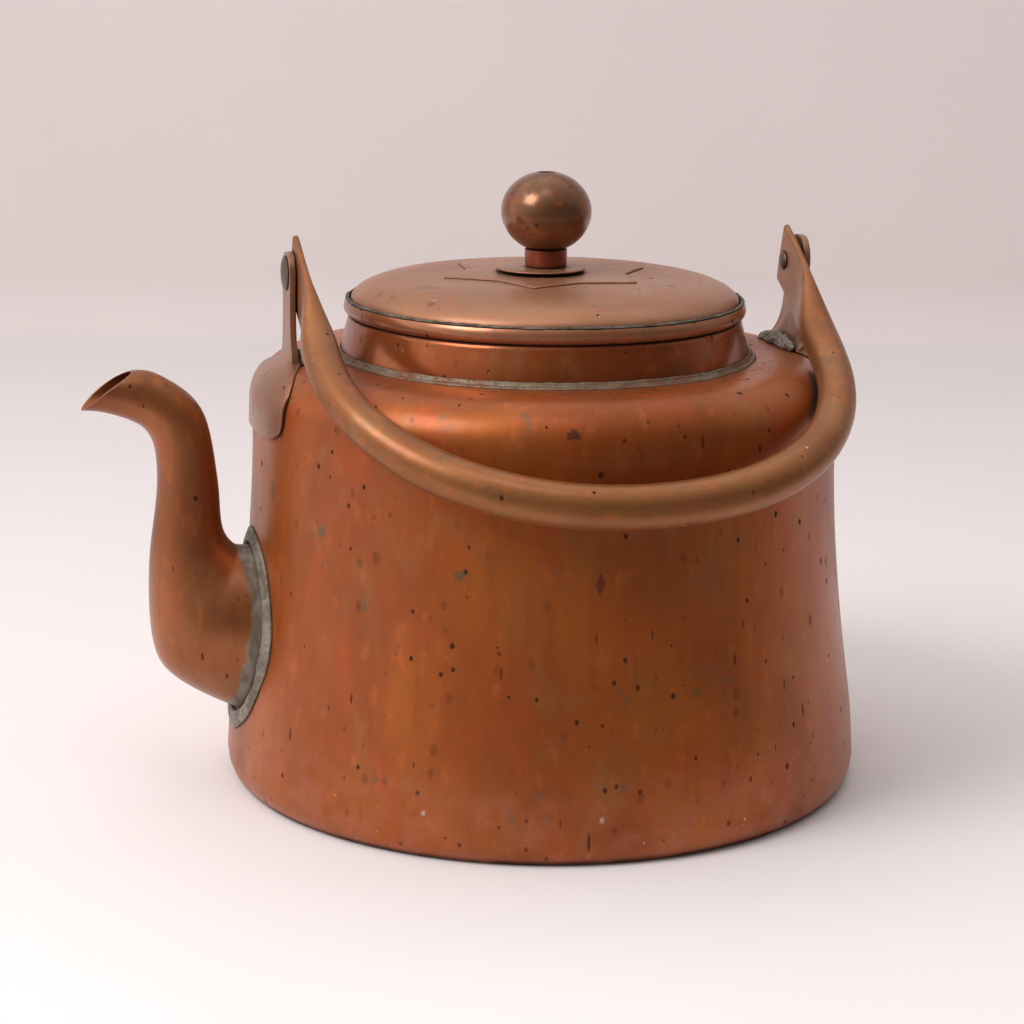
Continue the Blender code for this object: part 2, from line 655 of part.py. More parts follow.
def lid_dome():
    """Domed top sheet of the lid, whose edge stands in the rim's channel."""
    line = dome_line(0) + dome_line(SHEET)[::-1]
    points, faces = turned([(max(radius, ROD_RADIUS + GAP), height) for radius, height in line], ROUND_STEPS)
    add_body("lid_dome", points, faces, LID_COPPER)


def lid_rim():
    """Ring under the dome: flat underneath, with its outer edge turned up round the dome."""
    channel = LID_DOME_RADIUS + GAP
    soft = LID_EDGE_ROUND
    outline = [
        (LIP_RADIUS - 2 * SHEET, LID_BOTTOM),
        (LID_RIM_RADIUS - soft, LID_BOTTOM),
        (LID_RIM_RADIUS, LID_BOTTOM + soft),
        (LID_RIM_RADIUS, RIM_TOP - soft),
        (LID_RIM_RADIUS - soft / 2, RIM_TOP),
        (channel, RIM_TOP),
        (channel, LID_BOTTOM + SHEET),
        (LIP_RADIUS - 2 * SHEET, LID_BOTTOM + SHEET),
    ]
    points, faces = turned(outline, ROUND_STEPS)
    add_body("lid_rim", points, faces, COLLAR_COPPER)


def lid_plug():
    """Short tube under the rim that slips into the collar."""
    outer = LIP_RADIUS - 2 * GAP
    top = LID_BOTTOM - GAP
    low = top - LID_PLUG_DEPTH
    outline = [(outer, top), (outer, low), (outer - SHEET, low), (outer - SHEET, top)]
    points, faces = turned(outline, ROUND_STEPS)
    add_body("lid_plug", points, faces, LID_COPPER)


def lid_seam_solder():
    """Tin in the seam between the dome and the rim."""
    inner = LID_DOME_RADIUS + GAP
    low = RIM_TOP + GAP
    middle = (inner + SEAM_WIDTH * 0.6, low + SEAM_HEIGHT * 0.7)
    outline = [(inner, low), (inner + SEAM_WIDTH, low), middle, (inner, low + SEAM_HEIGHT)]
    points, faces = turned(outline, ROUND_STEPS)
    add_body("lid_seam_solder", points, faces, SOLDER)


def star_radius(angle):
    """Edge of the star at an angle from one of its points."""
    half = math.pi / STAR_POINTS
    turn = abs((angle + half) % (2 * half) - half)
    tip = Vector((STAR_TIP_RADIUS, 0))
    notch = Vector((STAR_NOTCH_RADIUS * math.cos(half), STAR_NOTCH_RADIUS * math.sin(half)))
    side = notch - tip
    cross = math.cos(turn) * side.y - math.sin(turn) * side.x
    return (tip.x * side.y - tip.y * side.x) / cross


def star_plate():
    """Thin six-pointed plate that lies on the dome under the knob."""
    loops = []
    steps = 8 * STAR_POINTS
    hole = ROD_RADIUS + GAP
    for step in range(steps):
        angle = math.tau * step / steps
        edge = star_radius(angle)
        direction = Vector((math.cos(angle + STAR_TURN), math.sin(angle + STAR_TURN), 0))
        loop = []
        for thickness, shares in ((0, (0, 0.35, 0.7, 1)), (PLATE, (1, 0.7, 0.35, 0))):
            for share in shares:
                radius = hole + (edge - hole) * share
                height = dome_height(radius) + 2 * GAP + thickness
                loop.append(direction * radius + Vector((0, 0, height)))
        loops.append(loop)
    points, faces = lofted(loops, around=True)
    add_body("star_plate", points, faces, LID_COPPER)


WASHER_LOW = LID_CROWN + PLATE + 3 * GAP
NECK_LOW = WASHER_LOW + PLATE + GAP


def washer(name, radius, low, shift=0.0):
    """Flat ring round the knob's rod, whose rim may be cut off centre."""
    hole = ROD_RADIUS + GAP
    high = low + PLATE
    points, faces = turned([(hole, low), (radius, low), (radius, high), (hole, high)], KNOB_STEPS)
    points = [(x + shift * (math.hypot(x, y) > 2 * hole), y, z) for x, y, z in points]
    add_body(name, points, faces, LID_COPPER)


def knob_surface(inset):
    """(radius, height) round the knob from its lower hole to its upper one, inside the surface by inset."""
    radius = KNOB_RADIUS - inset
    half_height = KNOB_HALF_HEIGHT - inset
    hole = math.acos((ROD_RADIUS + 2 * GAP) / radius)
    line = []
    for angle in between(-hole, hole, 10):
        line.append((radius * math.cos(angle), KNOB_CENTRE + half_height * math.sin(angle)))
    return line


def knob_ball():
    """Hollow ball with a hole at the top and the bottom for the rod."""
    points, faces = turned(knob_surface(0) + knob_surface(SHEET)[::-1], KNOB_STEPS)
    add_body("knob_ball", points, faces, KNOB_COPPER)


def knob_neck():
    """Short tube between the washer and the knob, hollowed on top to seat the ball."""
    hole = ROD_RADIUS + GAP
    top = []
    for share in (1, 0.7, 0.4):
        radius = NECK_TUBE_RADIUS * share
        drop = KNOB_HALF_HEIGHT * (1 - math.sqrt(1 - (radius / KNOB_RADIUS) ** 2))
        top.append((radius, KNOB_CENTRE - KNOB_HALF_HEIGHT + drop - 2 * GAP))
    outline = [(hole, NECK_LOW), (NECK_TUBE_RADIUS * NECK_TAPER, NECK_LOW)]
    outline.append((NECK_TUBE_RADIUS, NECK_LOW + NECK_TAPER_HEIGHT))
    outline += top
    outline.append((hole, top[-1][1]))
    points, faces = turned(outline, KNOB_STEPS)
    add_body("knob_neck", points, faces, KNOB_COPPER)


INNER_WASHER_LOW = LID_CROWN - SHEET - GAP - PLATE


def knob_rod():
    """Rod that ties the knob to the lid, with a riveted head under the inner washer."""
    low = INNER_WASHER_LOW - GAP
    head = 2 * ROD_RADIUS
    top = KNOB_CENTRE + KNOB_HALF_HEIGHT - ROD_TOP_DROP
    outline = []
    for angle in between(-math.pi / 2, 0, 3):
        outline.append((head * math.cos(angle), low + ROD_HEAD_HEIGHT * math.sin(angle)))
    outline[0] = (0, low - ROD_HEAD_HEIGHT)
    outline += [(ROD_RADIUS, low), (ROD_RADIUS, top), (0, top)]
    points, faces = turned(outline, SMALL_STEPS)
    add_body("knob_rod", points, faces, RIVET_COPPER)


# The kettle -------------------------------------------------------------------------------------------------

body_shell()
base_pan()
base_solder()
collar()
collar_solder()
spout()
spout_solder()
for place, shape in (("front", FRONT_LUG), ("rear", REAR_LUG)):
    lug(place + "_lug", shape)
    lug_solder(place + "_lug_solder", shape)
    pivot_rivet(place + "_pivot_rivet", shape)
handle_tube()
lid_dome()
lid_rim()
lid_plug()
lid_seam_solder()
star_plate()
washer("knob_washer", KNOB_WASHER_RADIUS, WASHER_LOW, KNOB_WASHER_SHIFT)
washer("lid_inner_washer", INNER_WASHER_RADIUS, INNER_WASHER_LOW)
knob_neck()
knob_ball()
knob_rod()
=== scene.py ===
"""Looks of the copper kettle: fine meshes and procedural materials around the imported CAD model.

Units are metres, +Z is up and the spout points along -X. Every piece is drawn from its CAD node: turned
pieces from the node's own outline, the others from its mesh. One slow warp of space makes all of them look
hand-made alike.
"""

import json
import math

import bmesh
import bpy
import numpy as np
from mathutils import Matrix, Vector, noise

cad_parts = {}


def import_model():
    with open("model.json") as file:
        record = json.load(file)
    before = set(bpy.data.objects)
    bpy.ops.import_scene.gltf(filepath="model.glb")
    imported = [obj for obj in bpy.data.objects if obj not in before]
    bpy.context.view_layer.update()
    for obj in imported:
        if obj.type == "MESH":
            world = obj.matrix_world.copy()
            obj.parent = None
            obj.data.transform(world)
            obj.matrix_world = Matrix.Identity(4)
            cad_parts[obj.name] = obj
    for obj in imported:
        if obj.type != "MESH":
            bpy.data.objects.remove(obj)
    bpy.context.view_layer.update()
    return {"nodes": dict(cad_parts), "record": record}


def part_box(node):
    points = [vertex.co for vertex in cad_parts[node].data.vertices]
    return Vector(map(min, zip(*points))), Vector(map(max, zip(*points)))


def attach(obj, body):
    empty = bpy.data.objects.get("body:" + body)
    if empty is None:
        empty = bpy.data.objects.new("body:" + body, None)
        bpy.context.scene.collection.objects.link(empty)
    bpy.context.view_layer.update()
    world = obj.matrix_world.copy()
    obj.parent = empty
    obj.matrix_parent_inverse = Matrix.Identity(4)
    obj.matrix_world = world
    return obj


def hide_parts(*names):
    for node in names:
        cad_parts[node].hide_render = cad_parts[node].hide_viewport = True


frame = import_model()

# Sizes --------------------------------------------------------------------------------------------

BODY_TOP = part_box("body_shell")[1].z
FOOT_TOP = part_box("body_shell")[0].z  # the wall's lower edge
SPOUT_ROOT_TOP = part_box("spout_solder")[1].z

WELD = 1e-6  # points closer than this are one point
ON_PLANE = 1e-5  # a point this close to a plane or to the axis lies on it
SHARP = math.radians(50)  # an outline or a mesh turning more than this has an edge there
FACET = math.radians(40)  # triangles that turn less than this from each other are joined into quads
EDGE = 0.0003  # rounding of a sharp edge
EDGE_SHARE = 0.45  # and the most that it takes of each side
FLUSH = 0.00005  # rounding of an edge that is burnished flush with the next piece
SEAM_GAP = 0.0003  # room between the CAD's wall and its base pan
SWELL = 0.0005  # how far solder fills the room that the CAD leaves round it
STAR_SINKS = 0.0009  # the star plate is let into the dome by most of its thickness

WARP_SIZE = 0.075  # the slow warp: how far apart its swells lie
WARP = 0.00025  # and how far it moves a point
WARP_SEED = 7  # noise_vector starts from the clock unless it is given a seed
FLOOR_FADE = 0.02  # height over which the warp grows from nothing
PIVOT_TRUE = 0.014  # nothing within this distance of a pivot is warped
PIVOT_FADE = 0.03
PIVOTS = [sum(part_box(place + "_pivot_rivet"), Vector()) / 2 for place in ("front", "rear")]

# Lumps of a surface, as layers of (size, height)
DENTS = ((0.016, 0.00006),)  # planishing marks
RIVET_LUMPS = ((0.004, 0.0001),)  # lower than the room that the CAD leaves for the handle to turn
RING_LUMPS = ((0.004, 0.0004), (0.0015, 0.00015))
SEAM_LUMPS = ((0.003, 0.0004), (0.001, 0.00015))
SPOUT_ROOT_LUMPS = ((0.012, 0.0007), (0.004, 0.0003), (0.0015, 0.0001))
LUG_FOOT_LUMPS = ((0.006, 0.0009), (0.0022, 0.0006), (0.0009, 0.0002))

# Camera, from the kettle's axis
CAMERA_DISTANCE = 1.000
CAMERA_HEIGHT = 0.3369
CAMERA_ROUND = math.radians(15.5)  # how far it stands round towards the spout
CAMERA_PITCH = math.radians(13.21)
CAMERA_PAN = math.radians(0.686)
CAMERA_ROLL = math.radians(0.59)
CAMERA_LENS = 91.25  # mm
CAMERA_SENSOR = 36  # mm across

# Studio
BACKDROP_DISTANCE = 1.05  # behind the kettle, along the camera's line of sight
BACKDROP_HEIGHT = 1.6
BACKDROP_CURVE = 0.05
BACKDROP_STEPS = 8  # faces round the curve
FLOOR_FACES = 3  # the flat face and the first faces of the curve have the floor's colour
FLOOR_SIDE = 3.0
PAPER_MIRRORED = 0.20  # distance in front within which copper mirrors the paper in full
DIM = 0.06  # brightness of the surroundings behind the camera
DIM_FACING = -0.8  # and how far a direction faces away from the camera there
BRIGHT = 1.35  # brightness beyond the kettle
BRIGHT_FACING = 1.0
PALE_BEYOND = 0.78  # brightness of the surroundings where the camera sees them directly
LAMP_WHITE = (1.0, 0.98, 0.97)
KEY_PLACE = (-0.9, -0.7, 1.2)  # aside, away from the camera and up
OVERHEAD_PLACE = (0.0, -0.5, 1.4)


# Meshes -------------------------------------------------------------------------------------------


def welded(node):
    """A CAD node's mesh with its split points joined."""
    mesh = bmesh.new()
    mesh.from_mesh(frame["nodes"][node].data)
    bmesh.ops.remove_doubles(mesh, verts=mesh.verts, dist=WELD)
    return mesh


def outline_of(node):
    """A turned CAD node's outline as (radius, height) points, walked along its edges in the half plane +X.

    The outline is closed, or runs from axis to axis where the node is solid in its middle.
    """
    mesh = welded(node)
    in_plane = [v for v in mesh.verts if abs(v.co.y) < ON_PLANE and v.co.x > -ON_PLANE]
    on_axis = [v for v in in_plane if abs(v.co.x) < ON_PLANE]
    here = min(on_axis or in_plane, key=lambda v: (v.co.z, v.co.x))
    walked = []
    while here is not None:
        walked.append(here)
        around = [edge.other_vert(here) for edge in here.link_edges]
        fresh = [v for v in around if v in in_plane and v not in walked]
        ahead = [v for v in fresh if not (v in on_axis and here in on_axis)]
        here = ahead[0] if ahead else None
    points = [(v.co.x, v.co.z) for v in walked]
    if on_axis and points[-1][0] > WELD:  # a flat end may have no vertex on the axis
        points.append((0.0, points[-1][1]))
    mesh.free()
    return points, not on_axis


def smooth_span(points, spacing):
    """Points along a smooth curve through the given ones."""
    points = np.array(points)
    if len(points) == 2:
        count = max(int(np.linalg.norm(points[1] - points[0]) / spacing), 1)
        return [tuple(points[0] + (points[1] - points[0]) * k / count) for k in range(count + 1)]
    lengths = np.linalg.norm(np.diff(points, axis=0), axis=1)
    slopes = np.diff(points, axis=0) / lengths[:, None]
    share = (lengths[1:] / (lengths[:-1] + lengths[1:]))[:, None]
    middle = slopes[:-1] * share + slopes[1:] * (1 - share)
    first = 1.5 * slopes[0] - 0.5 * middle[0]
    last = 1.5 * slopes[-1] - 0.5 * middle[-1]
    tangents = np.vstack([first, middle, last])
    curve = []
    for index, length in enumerate(lengths):
        count = max(int(length / spacing), 1)
        for step in range(count):
            t = step / count
            a, b = points[index], points[index + 1]
            m, n = tangents[index] * length, tangents[index + 1] * length
            curve.append(tuple(
                a * (2 * t**3 - 3 * t**2 + 1) + m * (t**3 - 2 * t**2 + t)
                + b * (3 * t**2 - 2 * t**3) + n * (t**3 - t**2)
            ))
    curve.append(tuple(points[-1]))
    return curve


def turning(before, here, after):
    """Angle by which a path turns at a point."""
    first = Vector(here) - Vector(before)
    second = Vector(after) - Vector(here)
    return first.angle(second, 0.0)


def rounded_corner(before, corner, after, size):
    """A few points in place of a sharp corner."""
    corner = Vector(corner)
    arms = [Vector(before) - corner, Vector(after) - corner]
    ends = [corner + arm.normalized() * min(size, arm.length * EDGE_SHARE) for arm in arms]
    points = []
    for t in (0.0, 0.25, 0.5, 0.75, 1.0):
        points.append(tuple(ends[0] * (1 - t) ** 2 + corner * 2 * t * (1 - t) + ends[1] * t**2))
    return points


def fine_outline(points, closed, spacing, edge):
    """The outline as smooth curves between corners that are rounded by edge."""
    count = len(points)
    inner = range(count) if closed else range(1, count - 1)
    sharp = [i for i in inner if turning(points[i - 1], points[i], points[(i + 1) % count]) > SHARP]
    if closed:
        stops = sharp + [sharp[0] + count]
    else:
        stops = [0] + sharp + [count - 1]
    drawn = [] if closed else [points[0]]
    for start, stop in zip(stops, stops[1:]):
        span = smooth_span([points[i % count] for i in range(start, stop + 1)], spacing)
        drawn += span[1:-1]
        if closed or stop != count - 1:
            following = points[(stop + 1) % count]
            drawn += rounded_corner(span[-2], points[stop % count], following, edge)
    if not closed:
        drawn.append(points[-1])
    return drawn


def turned(outline, closed, steps):
    """Points and faces of an outline turned about the Z axis."""
    points = []
    rows = []
    for radius, height in outline:
        first = len(points)
        if radius < WELD:
            points.append((0.0, 0.0, height))
            rows.append([first] * steps)
            continue
        for step in range(steps):
            angle = math.tau * step / steps
            points.append((radius * math.cos(angle), radius * math.sin(angle), height))
        rows.append(list(range(first, first + steps)))
    pairs = zip(rows, rows[1:] + rows[:1]) if closed else zip(rows, rows[1:])
    faces = []
    for row, following in pairs:
        for step in range(steps):
            after = (step + 1) % steps
            corners = list(dict.fromkeys([row[step], row[after], following[after], following[step]]))
            if len(corners) > 2:
                faces.append(corners)
    return points, faces


def turned_mesh(node, steps, spacing=0.0015, edge=EDGE):
    """A fine mesh of a turned CAD node."""
    outline, closed = outline_of(node)
    points, faces = turned(fine_outline(outline, closed, spacing, edge), closed, steps)
    mesh = bpy.data.meshes.new(node)
    mesh.from_pydata(points, [], faces)
    return mesh


def refined_mesh(node, levels, crease=0.7):
    """A CAD node's mesh as a subdivision surface, whose sharp edges stay crisp."""
    grown = welded(node)
    bmesh.ops.join_triangles(
        grown, faces=grown.faces, angle_face_threshold=FACET, angle_shape_threshold=2 * FACET
    )
    creases = grown.edges.layers.float.new("crease_edge")
    for edge in grown.edges:
        if edge.calc_face_angle(0.0) > SHARP:
            edge[creases] = crease
    mesh = bpy.data.meshes.new(node)
    grown.to_mesh(mesh)
    grown.free()
    rough = bpy.data.objects.new(node + "_rough", mesh)
    bpy.context.scene.collection.objects.link(rough)
    smooth = rough.modifiers.new("smooth", "SUBSURF")
    smooth.levels = levels
    smooth.render_levels = levels
    fine = bpy.data.meshes.new_from_object(rough.evaluated_get(bpy.context.evaluated_depsgraph_get()))
    bpy.data.objects.remove(rough)
    return fine


def warped(point):
    """Where the hand-made warp moves a point.

    It fades to nothing at the floor, and at the handle's two pivots so that the handle turns true there.
    """
    rise = min(point.z / FLOOR_FADE, 1.0)
    off_pivot = min((point - pivot).length for pivot in PIVOTS)
    free = min(max((off_pivot - PIVOT_TRUE) / PIVOT_FADE, 0.0), 1.0)
    return point + noise.noise_vector(point / WARP_SIZE) * WARP * rise * free


def lumps(point, layers):
    """Height of the surface's lumps at a point: layers are (size, height) pairs."""
    return sum(noise.noise(point / size) * height for size, height in layers)


def add_piece(node, mesh, material, layers=DENTS, swell=0.0):
    """The fine mesh as a piece that stands for its CAD node and rides on the node's body.

    Solder swells by a little more than the CAD's gaps, so that it clings to its neighbours.
    """
    grown = bmesh.new()
    grown.from_mesh(mesh)
    bmesh.ops.recalc_face_normals(grown, faces=grown.faces)
    grown.normal_update()
    moved = [warped(v.co + v.normal * (swell + lumps(v.co, layers))) for v in grown.verts]
    for vertex, place in zip(grown.verts, moved):
        vertex.co = place
    grown.to_mesh(mesh)
    grown.free()
    mesh.shade_smooth()
    mesh.set_sharp_from_angle(angle=SHARP)
    mesh.materials.clear()
    mesh.materials.append(material)
    piece = bpy.data.objects.new(node + "_fine", mesh)
    bpy.context.scene.collection.objects.link(piece)
    bodies = frame["record"]["behaviour"]["bodies"]
    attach(piece, next(body for body, nodes in bodies.items() if node in nodes))
    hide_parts(node)


# Materials ----------------------------------------------------------------------------------------


class Surface:
    """A procedural material under construction. Sizes are in metres."""

    def __init__(self, name):
        self.material = bpy.data.materials.new(name)
        self.material.use_nodes = True
        self.tree = self.material.node_tree
        self.shader = self.tree.nodes["Principled BSDF"]
        self.place = self.add("ShaderNodeTexCoord").outputs["Object"]

    def add(self, kind, inputs=None, **settings):
        """A node with its settings, and its inputs as values or as other nodes' outputs."""
        made = self.tree.nodes.new(kind)
        for key, value in settings.items():
            setattr(made, key, value)
        for key, value in (inputs or {}).items():
            if isinstance(value, bpy.types.NodeSocket):
                self.tree.links.new(value, made.inputs[key])
            else:
                made.inputs[key].default_value = value
        return made

    def maths(self, operation, first, second=0.0):
        return self.add("ShaderNodeMath", {0: first, 1: second}, operation=operation).outputs[0]

    def times(self, first, second):
        return self.maths("MULTIPLY", first, second)

    def vectors(self, operation, first, second):
        return self.add("ShaderNodeVectorMath", {0: first, 1: second}, operation=operation)

    def ramp(self, value, low, high, start=0.0, end=1.0):
        """Start where value is under low, end where it's over high, and a soft change between."""
        inputs = {"Value": value, "From Min": low, "From Max": high, "To Min": start, "To Max": end}
        return self.add("ShaderNodeMapRange", inputs, interpolation_type="SMOOTHSTEP").outputs["Result"]

    def mix(self, share, first, second):
        """From the first colour to the second."""
        inputs = {"Factor": share}
        mixer = self.add("ShaderNodeMix", inputs, data_type="RGBA")
        for socket, value in zip((mixer.inputs[6], mixer.inputs[7]), (first, second)):
            if isinstance(value, bpy.types.NodeSocket):
                self.tree.links.new(value, socket)
            else:
                socket.default_value = (*value, 1.0)
        return mixer.outputs[2]

    def stretched(self, size, stretch, seed):
        """Texture coordinates in steps of size, drawn out by stretch along each axis."""
        scale = [1 / (size * share) for share in stretch]
        inputs = {"Vector": self.place, "Location": (seed, 2.3 * seed, 4.1 * seed), "Scale": scale}
        return self.add("ShaderNodeMapping", inputs).outputs["Vector"]

    def noise(self, size, stretch=(1, 1, 1), seed=0.0, detail=3.0, distortion=0.0):
        """Cloudy values about 0.5."""
        inputs = {
            "Vector": self.stretched(size, stretch, seed),
            "Scale": 1.0,
            "Detail": detail,
            "Distortion": distortion,
        }
        return self.add("ShaderNodeTexNoise", inputs).outputs["Fac"]

    def spots(self, spacing, radius, share, stretch=(1, 1, 1), seed=0.0):
        """Scattered round spots, up to a radius, in a share of the cells that lie spacing apart."""
        inputs = {"Vector": self.stretched(spacing, stretch, seed), "Scale": 1.0}
        cells = self.add("ShaderNodeTexVoronoi", inputs)
        chance = self.add("ShaderNodeSeparateColor", {"Color": cells.outputs["Color"]})
        chosen = self.maths("LESS_THAN", chance.outputs["Red"], share)
        reach = self.times(self.maths("ADD", chance.outputs["Green"], 0.25), radius / spacing / 1.25)
        depth = self.maths("DIVIDE", cells.outputs["Distance"], reach)
        return self.times(chosen, self.ramp(depth, 0.5, 1.0, 1.0, 0.0))

    def height(self):
        return self.add("ShaderNodeSeparateXYZ", {"Vector": self.place}).outputs["Z"]

    def crevice_shade(self, distance):
        """A mask for painted shade: 1 deep in corners between pieces, where ambient occlusion finds them
        shut in, and 0 in the open.
        """
        inputs = {"Distance": distance}
        openness = self.add("ShaderNodeAmbientOcclusion", inputs, samples=6).outputs["AO"]
        return self.ramp(openness, 0.35, 0.85, 1.0, 0.0)

    def mark(self, centre, half_sizes):
        """A small soft-edged blot round a point, ragged at its edge."""
        offset = self.vectors("SUBTRACT", self.place, centre).outputs[0]
        scaled = self.vectors("DIVIDE", offset, half_sizes).outputs[0]
        length = self.add("ShaderNodeVectorMath", {0: scaled}, operation="LENGTH").outputs["Value"]
        ragged = self.maths("ADD", length, self.times(self.noise(0.0014, detail=5.0), 1.6))
        return self.ramp(ragged, 1.3, 1.8, 1.0, 0.0)

    def bump(self, height, distance):
        inputs = {"Height": height, "Distance": distance, "Strength": 1.0}
        return self.add("ShaderNodeBump", inputs).outputs["Normal"]

    def finish(self, **values):
        """Links the shader's inputs, named in lower case with _ for a space."""
        names = {
            "colour": "Base Color",
            "specular": "Specular IOR Level",
            "coat": "Coat Weight",
            "coat_roughness": "Coat Roughness",
        }
        for key, value in values.items():
            socket = self.shader.inputs[names.get(key, key.capitalize())]
            if isinstance(value, bpy.types.NodeSocket):
                self.tree.links.new(value, socket)
            else:
                socket.default_value = value
        return self.material


PIT = (0.034, 0.009, 0.003)
WORN_PINK = (0.430, 0.140, 0.075)
ORANGE = (0.560, 0.140, 0.030)
# Dark of grime in the wall's blots and the solder's specks, and also painted shade in corners and in
# copper's reflection of the far paper
GRIME_AND_SHADE = (0.022, 0.014, 0.010)
STAIN = (0.120, 0.085, 0.045)
GREY_GREEN = (0.100, 0.085, 0.045)
PLUM = (0.110, 0.018, 0.014)
VERDIGRIS = (0.230, 0.250, 0.165)
TIN = (0.62, 0.56, 0.50)
DULL_SOLDER = (0.140, 0.108, 0.082)
BRIGHT_SOLDER = (0.270, 0.230, 0.185)

METALLIC = 0.58  # under its tarnish the copper is only partly bare metal
PIT_METALLIC = 0.2
SOLDER_METALLIC = 0.35
COAT = 0.25  # the clear tarnish
COAT_ROUGHNESS = 0.24
SPECULAR = 0.25
PIT_DEPTH = 0.00009
SOLDER_RELIEF = 0.0003
COPPER_CREVICE = 0.0035  # how far the painted corner shade reaches out of a corner
SOLDER_CREVICE = 0.0020


def tones_of(s, tones, stretch, seed):
    """The mottled colour of old copper. Tones are its main colour, a deeper, a redder and a greyer one."""
    main, deep, red, grey = tones
    cloud = s.noise(0.050, stretch, seed, detail=3.0, distortion=0.3)
    streak = s.noise(0.0045, (1, 1, 9 * stretch[2]), seed + 3.0, detail=4.0)
    colour = s.mix(s.ramp(cloud, 0.35, 0.68), main, deep)
    redder = s.ramp(s.noise(0.022, stretch, seed + 7.0, detail=4.0, distortion=0.5), 0.48, 0.74)
    colour = s.mix(s.times(redder, 0.8), colour, red)
    greyer = s.ramp(s.noise(0.016, stretch, seed + 9.0, detail=5.0, distortion=0.6), 0.50, 0.78)
    colour = s.mix(s.times(greyer, 0.8), colour, grey)
    colour = s.mix(s.times(s.ramp(streak, 0.48, 0.74), 0.42), colour, deep)
    flecks = s.ramp(s.noise(0.0055, stretch, seed + 12.0, detail=5.0), 0.54, 0.80)
    colour = s.mix(s.times(flecks, 0.45), colour, ORANGE)
    fine = s.noise(0.0016, (1, 1, stretch[2]), seed + 5.0)
    return s.mix(s.times(s.ramp(fine, 0.50, 0.75), 0.25), colour, deep), cloud


def pits_of(s, share, seed):
    """Small corrosion pits: round ones, fainter broad ones and ones that ran down as drips."""
    round_ones = s.spots(0.0045, 0.0013, share, (1, 1, 1.3), seed + 4.0)
    drips = s.spots(0.0060, 0.0012, share, (0.8, 0.8, 4.0), seed + 6.0)
    faint = s.times(s.spots(0.0055, 0.0022, share, (1, 1, 1.5), seed + 8.0), 0.35)
    return s.maths("MAXIMUM", s.maths("MAXIMUM", round_ones, s.times(drips, 0.8)), faint)


def copper(
    name, tones, stretch=(1, 1, 1), pits=0.25, specks=0.1, rough=(0.30, 0.42), seed=0.0, marks=(), where=None
):
    """Patinated copper under a thin clear tarnish.

    Pits and specks are shares of the surface's cells that hold one. Marks are blots: centre, half sizes and
    colour. Where, if given, says where the specks lie and the copper is worn pink.
    """
    s = Surface(name)
    colour, cloud = tones_of(s, tones, stretch, seed)
    broken = s.ramp(s.noise(0.0035, seed=seed + 2.0, detail=5.0), 0.46, 0.66)
    smudges = s.times(s.spots(0.014, 0.0070, 0.4, (1, 1, 1.2), seed + 1.0), broken)
    colour = s.mix(s.times(smudges, 0.6), colour, STAIN)
    pitted = pits_of(s, pits, seed)
    colour = s.mix(s.times(pitted, 0.95), colour, PIT)
    for centre, half_sizes, blot_colour in marks:
        colour = s.mix(s.times(s.mark(centre, half_sizes), 0.7), colour, blot_colour)
    # Painted shade: ambient occlusion darkens the copper's colour in corners between pieces
    corner = s.crevice_shade(COPPER_CREVICE)
    colour = s.mix(s.times(corner, 0.85), colour, GRIME_AND_SHADE)
    bright = s.spots(0.0060, 0.0007, specks, (1, 1, 1.1), seed + 8.0)
    if where is not None:
        here = where(s)
        bright = s.times(bright, here)
        worn = s.ramp(s.noise(0.012, (1, 1, 0.7), seed + 13.0, detail=5.0), 0.30, 0.80)
        colour = s.mix(s.times(s.times(here, worn), 0.55), colour, WORN_PINK)
    colour = s.mix(s.times(bright, 0.8), colour, TIN)
    dull = s.maths("MAXIMUM", pitted, corner)
    roughness = s.maths("ADD", s.ramp(cloud, 0.3, 0.7, rough[0], rough[1]), s.times(dull, 0.4))
    metallic = s.ramp(dull, 0.0, 1.0, METALLIC, PIT_METALLIC)
    grain = s.noise(0.0010, (1, 1, stretch[2]), seed, detail=2.0)
    height = s.maths("SUBTRACT", s.times(grain, 0.35), pitted)
    s.finish(
        colour=colour,
        roughness=roughness,
        metallic=metallic,
        normal=s.bump(height, PIT_DEPTH),
        coat=s.ramp(dull, 0.0, 0.6, COAT, 0.0),
        coat_roughness=COAT_ROUGHNESS,
        specular=SPECULAR,
    )
    return s


def near_foot(s):
    """1 at the foot of the wall and 0 well above it."""
    return s.ramp(s.height(), 1.5 * FOOT_TOP, 4 * FOOT_TOP, 1.0, 0.0)


def solder(name, dull, pale, green, seed=0.0):
    """Soft solder: smooth dull grey with paler ridges and a little verdigris in its hollows."""
    s = Surface(name)
    cloud = s.noise(0.007, seed=seed, detail=4.0, distortion=0.4)
    fine = s.noise(0.0014, seed=seed + 1.0, detail=4.0)
    colour = s.mix(s.ramp(cloud, 0.40, 0.66), dull, pale)
    greener = s.ramp(s.noise(0.005, seed=seed + 2.0, detail=4.0), 0.50, 0.68)
    colour = s.mix(s.times(greener, green), colour, VERDIGRIS)
    colour = s.mix(s.times(s.ramp(fine, 0.52, 0.72), 0.45), colour, GRIME_AND_SHADE)
    # Painted shade: ambient occlusion darkens the solder's colour in corners between pieces
    colour = s.mix(s.times(s.crevice_shade(SOLDER_CREVICE), 0.35), colour, GRIME_AND_SHADE)
    roughness = s.ramp(fine, 0.3, 0.7, 0.40, 0.62)
    normal = s.bump(s.maths("ADD", fine, s.times(cloud, 1.5)), SOLDER_RELIEF)
    return s.finish(colour=colour, roughness=roughness, metallic=SOLDER_METALLIC, normal=normal)


def wall_radius(height):
    """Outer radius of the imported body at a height, from its own outline."""
    outline, _ = outline_of("body_shell")
    closest = sorted(outline, key=lambda point: abs(point[1] - height))[:4]
    return max(radius for radius, _ in closest)


def on_wall(degrees, share):
    """The point on the body at an angle about its axis, from +X, and at a share of its height."""
    turn = math.radians(degrees)
    height = share * BODY_TOP
    radius = wall_radius(height)
    return (radius * math.cos(turn), radius * math.sin(turn), height)


